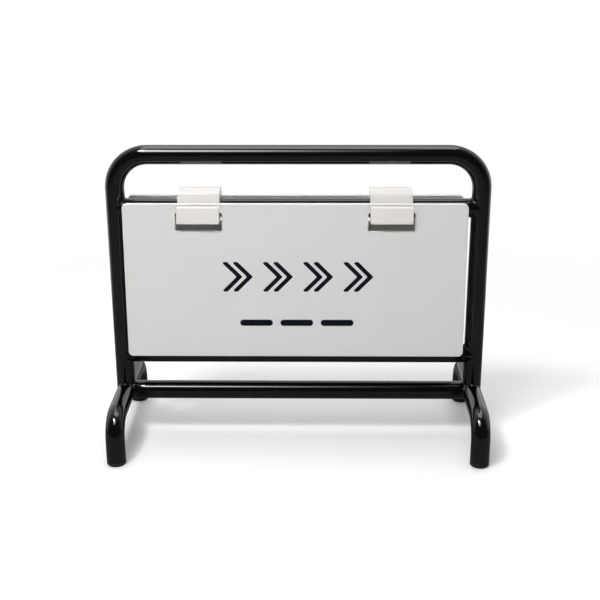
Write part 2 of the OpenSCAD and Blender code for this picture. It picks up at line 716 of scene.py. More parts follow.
def join(name: str, parts: Sequence[bpy.types.Object]) -> bpy.types.Object:
    """Joins parts into one piece.

    Args:
        name: Name of the piece.
        parts: The parts, of which the first one stays.

    Returns:
        The piece.
    """
    let_go()
    for part in parts:
        part.select_set(True)
    bpy.context.view_layer.objects.active = parts[0]
    bpy.ops.object.join()
    name_piece(parts[0], name)
    return parts[0]


def sweep(name: str, sections: Sequence[Sequence[Vector]]) -> bpy.types.Object:
    """Extrudes a filled outline step by step through a row of sections.

    Args:
        name: Name of the piece.
        sections: Outlines with equal numbers of points, in millimetres.

    Returns:
        The piece, closed at both ends.
    """
    count = len(sections[0])
    piece = add_piece(
        name, bpy.ops.mesh.primitive_circle_add, vertices=count, radius=MM, fill_type="NGON"
    )
    with editing(piece, everything=True):
        for _ in sections[1:]:
            extrude(0, 0, 1)
    for number, section in enumerate(sections):
        for place, point in enumerate(section):
            piece.data.vertices[number * count + place].co = point * MM
    heal(piece)
    return piece


def arc(radius: float, start: float, end: float, steps: int) -> list[Point]:
    """Points on an arc about the origin, both ends among them.

    Args:
        radius: Radius.
        start: Angle of the first point, in degrees.
        end: Angle of the last point, in degrees.
        steps: Number of steps.

    Returns:
        The points.
    """
    turns = [math.radians(start + (end - start) * i / steps) for i in range(steps + 1)]
    return [(radius * math.cos(turn), radius * math.sin(turn)) for turn in turns]


def rounded(corners: Sequence[Corner], steps: int) -> list[Point]:
    """Rounds the corners of a closed outline.

    Args:
        corners: Two coordinates and a radius for each corner; radius 0 keeps a point.
        steps: Steps in each rounding.

    Returns:
        The points of the outline.
    """
    outline: list[Point] = []
    for i, (across, up, radius) in enumerate(corners):
        if radius <= 0:
            outline.append((across, up))
            continue
        here = Vector((across, up))
        before = (Vector(corners[i - 1][:2]) - here).normalized()
        after = (Vector(corners[(i + 1) % len(corners)][:2]) - here).normalized()
        half = before.angle(after) / 2
        centre = here + (before + after).normalized() * (radius / math.sin(half))
        first = here + before * (radius / math.tan(half)) - centre
        last = here + after * (radius / math.tan(half)) - centre
        turn = first.angle_signed(last)
        for k in range(steps + 1):
            spoke = first.copy()
            spoke.rotate(Matrix.Rotation(-turn * k / steps, 2))
            outline.append(tuple(centre + spoke))
    return outline


def finish_piece(
    piece: bpy.types.Object,
    finishes: Sequence[bpy.types.Material],
    body: Body,
    replaced: Sequence[str] = (),
) -> None:
    """Dresses a piece, sets it on its body and reports it.

    Args:
        piece: The piece.
        finishes: Its materials, in the order of the numbers that its faces name.
        body: The body that it rides on.
        replaced: The CAD nodes that it stands for.
    """
    while len(piece.data.materials) < len(finishes):
        piece.data.materials.append(None)
    for number, finish in enumerate(finishes):
        piece.data.materials[number] = finish
    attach(piece, body.value)
    if replaced:
        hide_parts(*replaced)
    LOG.info("%s: %d faces, on %s", piece.name, len(piece.data.polygons), body.value)


# Tube frame


@dataclass
class TubeFrame:
    """The hoop, the two foot tubes and the three bars, all of one round tube."""

    radius: float = 5.0
    wall: float = 1.2
    upright_x: float = 95.0
    rail_z: float = 155.5
    hoop_bend: float = 17.5
    upper_bar_z: float = 127.5
    middle_bar_z: float = 46.0
    runner_z: float = 24.2
    foot_reach: float = 41.0
    runner_bend: float = 11.0
    tube_end_z: float = 2.0
    cope_gap: float = 0.05
    rim: float = 0.2
    rim_steps: int = 3
    end_ring: float = 6.5
    around: int = 64
    bend_steps: int = 24
    enamel: Enamel = Enamel()
    pieces: dict[str, bpy.types.Object] = field(default_factory=dict)

    def build(self) -> None:
        """Builds the six tubes."""
        hoop = self._arch("hoop_tube", self.upright_x, self.runner_z, self.rail_z, self.hoop_bend)
        self._cope_hoop(hoop)
        self._wall(hoop)
        runner = self._arch(
            "right_runner_tube", self.foot_reach, self.tube_end_z, self.runner_z, self.runner_bend
        )
        self._wall(runner)
        move_piece(runner, offset(self.upright_x, 0, 0) @ Matrix.Rotation(math.pi / 2, 4, "Z"))
        across = offset(-2 * self.upright_x, 0, 0)
        left_runner = copy_piece(runner, "left_runner_tube", across)
        bar = self._bar("upper_bar_tube", self._reach_of_bar)
        middle_bar = copy_piece(bar, "middle_bar_tube", offset(0, 0, self.middle_bar_z))
        move_piece(bar, offset(0, 0, self.upper_bar_z))
        crossbar = self._bar("lower_crossbar_tube", self._reach_of_crossbar)
        move_piece(crossbar, offset(0, 0, self.runner_z))
        self.pieces = {
            "hoop": hoop,
            "right_runner": runner,
            "left_runner": left_runner,
            "middle_bar": middle_bar,
            "upper_bar": bar,
            "lower_crossbar": crossbar,
        }

    def dress(self) -> None:
        """Gives the tubes their enamel and sets them on the frame's body."""
        enamel = self.enamel.material()
        for node, piece in self.pieces.items():
            smooth(piece)
            finish_piece(piece, [enamel], Body.FRAME, [node])

    def _arch(
        self, name: str, half_span: float, low: float, crest: float, bend: float
    ) -> bpy.types.Object:
        """Bends a tube's skin into an upside-down U in the plane of X and Z.

        Args:
            name: Name of the piece.
            half_span: Distance from the middle to each leg.
            low: Height of the leg's foot.
            crest: Height of the rail.
            bend: Centre-line radius of the two bends.

        Returns:
            The piece, open at both feet, with a ring of points near each foot.
        """
        piece = add_piece(
            name, bpy.ops.mesh.primitive_circle_add, vertices=self.around,
            radius=self.radius * MM, location=(-half_span * MM, 0, low * MM),
        )
        above_ring = crest - bend - low - self.end_ring
        with editing(piece, everything=True):
            extrude(0, 0, self.end_ring)
            extrude(0, 0, above_ring)
            self._bend((bend - half_span, 0, crest - bend))
            extrude(2 * (half_span - bend), 0, 0)
            self._bend((half_span - bend, 0, crest - bend))
            extrude(0, 0, -above_ring)
            extrude(0, 0, -self.end_ring)
        heal(piece)
        return piece

    def _bend(self, centre: Place) -> None:
        """Spins the selected rim a quarter turn about an axis along Y, over towards +X.

        Args:
            centre: A point on the axis, in millimetres.
        """
        bpy.ops.mesh.spin(
            steps=self.bend_steps, dupli=False, angle=-math.pi / 2,
            center=tuple(c * MM for c in centre), axis=(0, 1, 0),
        )

    def _cope_hoop(self, hoop: bpy.types.Object) -> None:
        """Shapes the feet of the hoop to sit on the runners.

        Args:
            hoop: The hoop's skin, before it gets its wall.
        """
        cut = (self.radius + self.cope_gap) * MM
        for vertex in hoop.data.vertices:
            if abs(vertex.co.z - self.runner_z * MM) < TOUCH * MM:
                across = abs(vertex.co.x) - self.upright_x * MM
                vertex.co.z += math.sqrt(cut**2 - across**2)

    def _bar(self, name: str, reach: Callable[[float, float], float]) -> bpy.types.Object:
        """Makes a straight bar, coped at both ends, along X through the origin.

        Args:
            name: Name of the piece.
            reach: Gives half the bar's length at a place on its section.

        Returns:
            The piece, with a ring of points near each end.
        """
        piece = add_piece(
            name, bpy.ops.mesh.primitive_circle_add, vertices=self.around,
            radius=self.radius * MM, location=(-self.upright_x * MM, 0, 0),
            rotation=(0, math.pi / 2, 0),
        )
        near_end = self.radius + self.end_ring
        with editing(piece, everything=True):
            extrude(near_end, 0, 0)
            extrude(2 * (self.upright_x - near_end), 0, 0)
            extrude(near_end, 0, 0)
        for vertex in piece.data.vertices:
            if abs(vertex.co.x) > (self.upright_x - near_end / 2) * MM:
                half = reach(vertex.co.y / MM, vertex.co.z / MM) * MM
                vertex.co.x = math.copysign(half, vertex.co.x)
        heal(piece)
        self._wall(piece)
        return piece

    def _reach_of_bar(self, across: float, up: float) -> float:
        """Half-length of a bar that meets the uprights, the same at each height up."""
        return self.upright_x - math.sqrt((self.radius + self.cope_gap) ** 2 - across**2)

    def _reach_of_crossbar(self, across: float, up: float) -> float:
        """Half-length of the bar that meets uprights above and runners all over."""
        at_runner = self.upright_x - math.sqrt((self.radius + self.cope_gap) ** 2 - up**2)
        return min(at_runner, self._reach_of_bar(across, up)) if up > 0 else at_runner

    def _wall(self, piece: bpy.types.Object) -> None:
        """Gives a tube's skin its wall and eases its rims.

        Args:
            piece: The skin.
        """
        modify(piece, "SOLIDIFY", thickness=self.wall * MM, offset=-1.0)
        modify(
            piece, "BEVEL", width=self.rim * MM, segments=self.rim_steps,
            limit_method="ANGLE", angle_limit=SHARP,
        )


@dataclass(frozen=True)
class Seam:
    """Run of a seam: where the centre lines cross, and the directions there."""

    joint: Vector
    ending: Vector
    through: Vector
    square: Vector

    def reach(self, out: float, turn: float) -> Vector:
        """Point that lies that far out from both tubes' centre lines, at a turn."""
        ahead = (self.ending + self.through) * math.cos(turn)
        return self.joint + (ahead + self.square * math.sin(turn)) * out


@dataclass
class WeldSeams:
    """Small fillets of weld where the tubes meet, under the enamel."""

    tubes: TubeFrame
    fillet: float = 0.9
    sunk: float = 0.012
    root: float = 0.35
    ripple: float = 0.04
    ripple_count: float = 26.0
    half_turn: float = 84.0
    steps: int = 72
    arc_steps: int = 6
    smooth_angle: float = 50.0
    enamel: Enamel = Enamel(name="gloss_black_enamel_on_weld", ripple_height=0.5)
    pieces: list[bpy.types.Object] = field(default_factory=list)

    def build(self) -> None:
        """Builds the seams at the right and copies them to the left."""
        tubes = self.tubes
        along, over, ahead = Vector((-1, 0, 0)), Vector((0, 0, 1)), Vector((0, 1, 0))
        at_bar = Vector((tubes.upright_x, 0, tubes.upper_bar_z))
        upper = self._seams(
            "weld_upper_bar_right", at_bar, [(along, over, ahead), (along, -over, ahead)]
        )
        fall = offset(0, 0, tubes.middle_bar_z - tubes.upper_bar_z)
        middle = copy_piece(upper, "weld_middle_bar_right", fall)
        base = self._seams(
            "weld_base_right", Vector((tubes.upright_x, 0, tubes.runner_z)),
            [
                (over, ahead, along), (over, -ahead, along), (along, over, ahead),
                (along, ahead, over), (along, -ahead, over),
            ],
        )
        flip = Matrix.Scale(-1, 4, Vector((1, 0, 0)))
        for piece in (upper, middle, base):
            self.pieces.append(piece)
            self.pieces.append(copy_piece(piece, piece.name.replace("right", "left"), flip))

    def dress(self) -> None:
        """Gives the seams their enamel and sets them on the frame's body."""
        enamel = self.enamel.material()
        for piece in self.pieces:
            smooth(piece, self.smooth_angle)
            finish_piece(piece, [enamel], Body.FRAME)

    def _seams(
        self, name: str, joint: Vector, runs: Sequence[tuple[Vector, Vector, Vector]]
    ) -> bpy.types.Object:
        """Makes the fillet strips of one joint.

        Args:
            name: Name of the piece.
            joint: Where the centre lines cross.
            runs: For each strip, the directions along the tube that ends there, along the
                tube that goes through, on the strip's side, and square to both.

        Returns:
            The strips, joined.
        """
        return join(name, [self._strip(Seam(joint, *run)) for run in runs])

    def _strip(self, seam: Seam) -> bpy.types.Object:
        """Makes one fillet strip, as a ball would leave it that rolls along the seam.

        Args:
            seam: Its run.

        Returns:
            The strip, closed.
        """
        sections = []
        for i in range(self.steps + 1):
            turn = math.radians(self.half_turn * (2 * i / self.steps - 1))
            swell = 1 + self.ripple * math.sin(self.ripple_count * turn)
            sections.append(self._section(seam, turn, self.fillet * swell))
        return sweep("seam", sections)

    def _section(self, seam: Seam, turn: float, ball: float) -> list[Vector]:
        """Section of a fillet strip.

        Args:
            seam: Its run.
            turn: Angle about the tube that ends there.
            ball: Radius of the rolling ball.

        Returns:
            The points of the section.
        """
        skin = self.tubes.radius - self.sunk
        near, far = math.cos(turn), math.sin(turn)
        centre = seam.reach(skin + ball, turn)
        to_ending = -(seam.through * near + seam.square * far)
        to_through = -(seam.ending * near + seam.square * far)
        points = []
        for i in range(self.arc_steps + 1):
            points.append(centre + to_ending.slerp(to_through, i / self.arc_steps) * ball)
        inwards = -(seam.ending + seam.through).normalized()
        return points + [seam.reach(skin, turn) + inwards * self.root * near]


# Foot plugs


@dataclass
class FootPlugs:
    """Push-in plugs with a bevelled head under the tube and barbs inside it."""

    tubes: TubeFrame
    head: float = 2.0
    bevel: float = 0.5
    bevel_foot: float = 0.06
    bevel_top: float = 0.12
    ease: float = 0.15
    play: float = 0.05
    barb_depth: float = 0.5
    barb_h: float = 1.5
    barb_lip: float = 0.02
    barb_round: float = 0.03
    barb_land: float = 0.1
    barb_fade: float = 0.98
    barbs: int = 4
    stem: float = 7.5
    steps: int = 64
    plastic: Moulded = Moulded(
        "satin_black_plastic", tone(24, 25, 27), tone(33, 34, 37), 0.42,
        grain=Grain(3000.0, 2.0, 0.6),
    )
    pieces: dict[str, bpy.types.Object] = field(default_factory=dict)

    def build(self) -> None:
        """Builds one plug and copies it to the four feet."""
        first = self._plug()
        for end in End:
            for side in Side:
                name = f"foot_plug_{end.name.lower()}_{side.name.lower()}"
                x, y = side.value * self.tubes.upright_x, end.value * self.tubes.foot_reach
                self.pieces[name] = copy_piece(first, f"{name}_cap", offset(x, y, 0))
        bpy.data.objects.remove(first)

    def dress(self) -> None:
        """Gives the plugs their plastic and sets them on the frame's body."""
        plastic = self.plastic.material()
        for node, piece in self.pieces.items():
            smooth(piece)
            finish_piece(piece, [plastic], Body.FRAME, [node])

    def _profile(self) -> list[Point]:
        """Profile of the plug as radius and height, from the axis below to the axis above.

        Returns:
            The points of the profile.
        """
        skin = self.tubes.radius
        barb = skin - self.tubes.wall - self.play
        core = barb - self.barb_depth
        top = self.head + self.stem
        points = [
            (0.0, 0.0), (skin - self.bevel - self.ease, 0.0), (skin - self.bevel, self.bevel_foot),
            (skin - self.bevel_foot, self.bevel), (skin, self.bevel + self.bevel_top),
            (skin, self.head - self.ease), (skin - self.ease, self.head), (core, self.head),
        ]
        for i in range(self.barbs):
            foot = self.head + (i + 1) * self.barb_h
            points += [
                (core, foot), (barb, foot + self.barb_lip),
                (barb - self.barb_round, foot + self.barb_land),
                (core, foot + self.barb_h * self.barb_fade),
            ]
        return points + [(core, top - self.ease), (core - self.ease, top), (0.0, top)]

    def _plug(self) -> bpy.types.Object:
        """Spins the profile into a plug that stands at the origin.

        Returns:
            The plug.
        """
        profile = self._profile()
        piece = add_piece(
            "foot_plug", bpy.ops.mesh.primitive_circle_add, vertices=len(profile), radius=MM
        )
        for vertex, (out, up) in zip(piece.data.vertices, profile):
            vertex.co = (out * MM, 0, up * MM)
        with editing(piece):
            pick(piece, Pick.EDGE, lambda edge: all(v.co.x < ON_AXIS * MM for v in edge.verts))
            bpy.ops.mesh.delete(type="EDGE")
            bpy.ops.mesh.select_all(action="SELECT")
            bpy.ops.mesh.spin(
                steps=self.steps, dupli=False, angle=2 * math.pi, center=(0, 0, 0), axis=(0, 0, 1)
            )
        heal(piece)
        return piece


# Clips


@dataclass
class HangerClips:
    """One-piece clips: a saddle that snaps on the upper bar, with a hook each way."""

    width: float = 21.8
    spacing: float = 99.2
    shift: float = -1.4
    bar_z: float = 127.5
    hole: float = 5.08
    wall_y: float = 7.28
    lip_in_y: float = 12.2
    lip_out_y: float = 14.1
    lip_flat: float = 0.01
    crown_h: float = 9.48
    crown_r: float = 1.0
    lip_top_h: float = 3.9
    foot_h: float = -5.3
    floor_h: float = -0.9707
    slope_top_h: float = 0.7793
    mouth_y: float = 4.2
    mouth_foot_y: float = 5.3
    toe_r: float = 0.6
    inner_r: float = 0.3
    mouth_r: float = 0.45
    mouth_least_r: float = 0.05
    throat_share: float = 0.8
    edge_r: float = 0.35
    corner_r: float = 0.6
    corner_steps: int = 6
    section_steps: int = 5
    bore_start: float = 14.0
    bore_end: float = 88.0
    bore_steps: int = 16
    smooth_angle: float = 40.0
    plastic: Moulded = Moulded(
        "warm_white_plastic", tone(232, 228, 224), tone(238, 234, 231), 0.30
    )
    pieces: dict[str, bpy.types.Object] = field(default_factory=dict)

    def build(self) -> None:
        """Builds one clip and copies it to both places on the bar."""
        first = sweep("hanger_clip", [self._station(x) for x in self._stations()])
        for side in Side:
            name = f"clip_{side.name.lower()}"
            move = offset(self.shift + side.value * self.spacing / 2, 0, self.bar_z)
            self.pieces[name] = copy_piece(first, f"{name}_moulding", move)
        bpy.data.objects.remove(first)

    def dress(self) -> None:
        """Gives the clips their plastic and sets each on its own body."""
        plastic = self.plastic.material()
        for node, piece in self.pieces.items():
            smooth(piece, self.smooth_angle)
            finish_piece(piece, [plastic], Body(node), [node])

    def _stations(self) -> list[float]:
        """Places along the clip's width, close together at both ends.

        Returns:
            The places, from the left to the right.
        """
        half = self.width / 2
        turns = [math.radians(90 * i / self.corner_steps) for i in range(self.corner_steps + 1)]
        radii = (self.edge_r, self.corner_r)
        right = sorted({round(half - r + r * math.sin(turn), 5) for r in radii for turn in turns})
        return [-x for x in reversed(right)] + right

    @staticmethod
    def _fall(radius: float, beyond: float) -> float:
        """How far a rounding of a radius has fallen, that far beyond its start."""
        return radius - math.sqrt(max(radius**2 - max(beyond, 0.0) ** 2, 0.0))

    def _station(self, x: float) -> list[Vector]:
        """Section of the clip at a place along its width.

        Args:
            x: The place, from the clip's middle.

        Returns:
            The points of the section.
        """
        to_end = abs(x) - self.width / 2
        inset = self._fall(self.edge_r, to_end + self.edge_r)
        lowered = self._fall(self.corner_r, to_end + self.corner_r)
        half = self._half_section(inset, lowered)
        corners = half + [(-y, z, r) for y, z, r in reversed(half)]
        return [Vector((x, y, z)) for y, z in rounded(corners, self.section_steps)]

    def _half_section(self, inset: float, lowered: float) -> list[Corner]:
        """Corners of the half of the section on the +Y side, from the crown to the hole's top.

        Args:
            inset: How far the outline has drawn in at the rounded edge.
            lowered: How far tops and feet have drawn in at the rounded corner.

        Returns:
            The corners with their radii.
        """
        diagonal = inset * math.sqrt(2)
        wall, foot = self.wall_y - inset, self.foot_h + inset + lowered
        floor = self.floor_h - inset
        lip_in, lip_out = self.lip_in_y + inset, self.lip_out_y - inset
        lip_top = self.lip_top_h - inset - lowered
        lip_r = (lip_out - lip_in) / 2 - self.lip_flat
        slope = self.lip_in_y - self.slope_top_h
        inner = self.inner_r + inset
        mouth_r = max(self.mouth_r - inset, self.mouth_least_r)
        hole, throat = self.hole + inset, self.mouth_y + inset
        mouth_angle = math.degrees(math.asin(throat / hole)) - 90
        corners = [
            (wall, self.crown_h - inset - lowered, self.crown_r - inset),
            (wall, floor, inner),
            (floor + slope + diagonal, floor, inner),
            (lip_in, lip_in - slope - diagonal, inner),
            (lip_in, lip_top, lip_r),
            (lip_out, lip_top, lip_r),
            (lip_out, foot, self.toe_r - inset),
            (self.mouth_foot_y + inset, foot, mouth_r),
            (throat, -math.sqrt(hole**2 - throat**2), mouth_r * self.throat_share),
        ]
        bore = arc(hole, mouth_angle + self.bore_start, self.bore_end, self.bore_steps)
        return corners + [(y, z, 0.0) for y, z in bore]


# Boards and their marks


@dataclass
class HangingBoards:
    """Two flat boards with a slot for each hook, which lean with their feet outwards."""

    width: float = 177.4
    height: float = 82.4
    thick: float = 3.0
    corner_r: float = 2.5
    corner_steps: int = 10
    strip: float = 4.85
    slot_w: float = 24.0
    slot_h: float = 9.6
    slot_r: float = 0.8
    slot_steps: int = 5
    spacing: float = 99.2
    shift: float = -1.4
    pivot_y: float = 11.2
    seat_z: float = 127.35
    lean: float = 2.5
    ease: float = 0.5
    ease_steps: int = 3
    face: BoardFace = BoardFace()
    edge: BoardEdge = BoardEdge()
    pieces: dict[End, bpy.types.Object] = field(default_factory=dict)

    def seat(self, end: End) -> Matrix:
        """Turn and place of a board, from its own sheet to the frame.

        Args:
            end: Which board.

        Returns:
            The matrix.
        """
        about = Matrix.Identity(4) if end is End.FRONT else Matrix.Rotation(math.pi, 4, "Z")
        place = offset(self.shift, end.value * self.pivot_y, self.seat_z)
        return place @ about @ Matrix.Rotation(-math.radians(self.lean), 4, "X")

    def build(self) -> None:
        """Cuts one board flat and hangs two copies of it."""
        flat = self._plate()
        self._cut_slots(flat)
        self._round_corners(flat)
        self._ease_edges(flat)
        for end in End:
            self.pieces[end] = copy_piece(flat, f"{end.name.lower()}_board_sheet", self.seat(end))
        bpy.data.objects.remove(flat)

    def dress(self) -> None:
        """Gives the boards their faces and edges and sets each on its own body."""
        finishes = [self.face.material(), self.edge.material()]
        for end, piece in self.pieces.items():
            node = f"{end.name.lower()}_board"
            finish_piece(piece, finishes, Body(node), [node])

    def _plate(self) -> bpy.types.Object:
        """Adds the plate, its outer face in the plane of X and Z.

        Returns:
            The plate.
        """
        return add_piece(
            "flat_board", bpy.ops.mesh.primitive_cube_add, size=1.0,
            location=(0, self.thick / 2 * MM, (self.strip - self.height / 2) * MM),
            scale=(self.width * MM, self.thick * MM, self.height * MM),
        )

    def _in_slot(self, place: Vector, margin: float = 0.0) -> bool:
        """Whether a place is in or on one of the slots.

        Args:
            place: The place, in metres.
            margin: Widens the slots by this much.

        Returns:
            True if it is.
        """
        x, z = place.x / MM, place.z / MM
        beside = abs(abs(x) - self.spacing / 2) < self.slot_w / 2 + margin
        return beside and -self.slot_h - margin < z < margin

    def _cut_slots(self, board: bpy.types.Object) -> None:
        """Cuts the slots through the plate and walls them.

        Args:
            board: The plate.
        """
        near = (self.spacing - self.slot_w) / 2
        cuts = [(s * d, 0.0, (1, 0, 0)) for s in (-1, 1) for d in (near, near + self.slot_w)]
        cuts += [(0.0, 0.0, (0, 0, 1)), (0.0, -self.slot_h, (0, 0, 1))]
        with editing(board):
            for x, z, normal in cuts:
                bpy.ops.mesh.select_all(action="SELECT")
                bpy.ops.mesh.bisect(plane_co=(x * MM, 0, z * MM), plane_no=normal)
            pick(
                board, Pick.FACE,
                lambda f: abs(f.normal.y) > FACING and self._in_slot(f.calc_center_median()),
            )
            bpy.ops.mesh.delete(type="FACE")
            for side in Side:
                pick(
                    board, Pick.EDGE,
                    lambda e: e.is_boundary and e.verts[0].co.x * side.value > 0,
                )
                bpy.ops.mesh.bridge_edge_loops()
            bpy.ops.mesh.select_all(action="SELECT")
            bpy.ops.mesh.normals_make_consistent(inside=False)

    def _round_corners(self, board: bpy.types.Object) -> None:
        """Rounds the corners of the slots and of the plate.

        Args:
            board: The plate with its slots.
        """
        ends = (self.strip, self.strip - self.height)

        def across(edge: bmesh.types.BMEdge) -> bool:
            """Whether an edge goes through the plate."""
            return abs(edge.verts[0].co.y - edge.verts[1].co.y) > self.thick * MM * FACING

        def at_corner(edge: bmesh.types.BMEdge) -> bool:
            """Whether an edge is one of the plate's four corners."""
            x, z = abs(edge.verts[0].co.x) / MM, edge.verts[0].co.z / MM
            return x > self.width / 2 - TOUCH and any(abs(z - end) < TOUCH for end in ends)

        with editing(board):
            pick(board, Pick.EDGE, lambda e: across(e) and self._in_slot(e.verts[0].co, TOUCH))
            bpy.ops.mesh.bevel(offset=self.slot_r * MM, segments=self.slot_steps, affect="EDGES")
            pick(board, Pick.EDGE, lambda e: across(e) and at_corner(e))
            bpy.ops.mesh.bevel(
                offset=self.corner_r * MM, segments=self.corner_steps, affect="EDGES"
            )

    def _ease_edges(self, board: bpy.types.Object) -> None:
        """Gives the routed faces the second material, then eases all edges of the sheet.

        Args:
            board: The sheet with its slots and corners.
        """
        smooth(board)
        for _ in (self.face, self.edge):
            board.data.materials.append(None)
        for polygon in board.data.polygons:
            polygon.material_index = 0 if abs(polygon.normal.y) > FACING else 1
        modify(
            board, "BEVEL", width=self.ease * MM, segments=self.ease_steps,
            limit_method="ANGLE", angle_limit=SHARP, harden_normals=True,
            use_clamp_overlap=False,
        )


@dataclass
class PrintedMarks:
    """Plain direction marks in dark ink: pairs of chevrons over a row of dashes."""

    boards: HangingBoards
    film: float = 0.04
    rim: float = 0.015
    rim_steps: int = 2
    rim_angle: float = 60.0
    stroke: float = 2.2
    tall: float = 16.0
    end_share: float = 0.3
    end_steps: int = 4
    pairs: int = 4
    pitch: float = 20.9
    pair_gap: float = 5.4
    row_x: float = 1.2
    row_v: float = 38.5
    dash_w: float = 17.2
    dash_h: float = 3.4
    dash_v: float = 63.6
    dash_x: tuple[float, ...] = (-21.6, -0.4, 20.8)
    dash_flat: float = 0.02
    dash_steps: int = 8
    smooth_angle: float = 40.0
    ink: Ink = Ink()
    pieces: dict[End, list[bpy.types.Object]] = field(default_factory=dict)

    def build(self) -> None:
        """Draws one chevron and one dash and prints copies on both boards."""
        chevron = self._film("chevron", self._chevron_outline())
        dash = self._film("dash", self._dash_outline())
        middle = (self.pairs - 1) / 2
        pair_x = [(i - middle) * self.pitch for i in range(self.pairs)]
        chevron_x = [x + half * self.pair_gap for x in pair_x for half in (-0.5, 0.5)]
        for end in End:
            self.pieces[end] = self._row(end, chevron, chevron_x, self.row_v)
            self.pieces[end] += self._row(end, dash, self.dash_x, self.dash_v)
        for draft in (chevron, dash):
            bpy.data.objects.remove(draft)

    def dress(self) -> None:
        """Gives the marks their ink and sets them on their boards' bodies."""
        ink = self.ink.material()
        for end, marks in self.pieces.items():
            for piece in marks:
                smooth(piece, self.smooth_angle)
                finish_piece(piece, [ink], Body(f"{end.name.lower()}_board"))

    def _row(
        self, end: End, draft: bpy.types.Object, places: Sequence[float], down: float
    ) -> list[bpy.types.Object]:
        """Prints a row of copies of a mark on a board.

        Args:
            end: Which board.
            draft: The mark.
            places: Place of each copy, from the middle of the row.
            down: How far the row lies below the board's top.

        Returns:
            The copies.
        """
        name = f"{end.name.lower()}_{draft.name}"
        seat, up = self.boards.seat(end), self.boards.strip - down
        return [
            copy_piece(draft, f"{name}_{i + 1}", seat @ offset(self.row_x + x, 0, up))
            for i, x in enumerate(places)
        ]

    def _film(self, name: str, outline: Sequence[Point]) -> bpy.types.Object:
        """Makes a raised film of ink with an eased rim.

        Args:
            name: Name of the piece.
            outline: Its outline, in millimetres.

        Returns:
            The piece, on the sheet's outer face.
        """
        depths = (0.0, -self.film)
        piece = sweep(name, [[Vector((x, y, z)) for x, z in outline] for y in depths])
        modify(
            piece, "BEVEL", width=self.rim * MM, segments=self.rim_steps,
            limit_method="ANGLE", angle_limit=math.radians(self.rim_angle),
        )
        return piece

    def _chevron_outline(self) -> list[Point]:
        """Outline of a chevron that points to the right, with round ends.

        Returns:
            The points.
        """
        top, reach = self.tall / 2, self.tall / 4
        half = self.stroke * math.hypot(1, top / (2 * reach)) / 2
        spots = [
            (reach + half, 0.0), (-reach + half, top), (-reach - half, top),
            (reach - half, 0.0), (-reach - half, -top), (-reach + half, -top),
        ]
        return rounded([(*spot, self.stroke * self.end_share) for spot in spots], self.end_steps)

    def _dash_outline(self) -> list[Point]:
        """Outline of a dash with round ends.

        Returns:
            The points.
        """
        across, up = self.dash_w / 2, self.dash_h / 2
        spots = [(-across, -up), (across, -up), (across, up), (-across, up)]
        return rounded([(*spot, up - self.dash_flat) for spot in spots], self.dash_steps)


# Studio


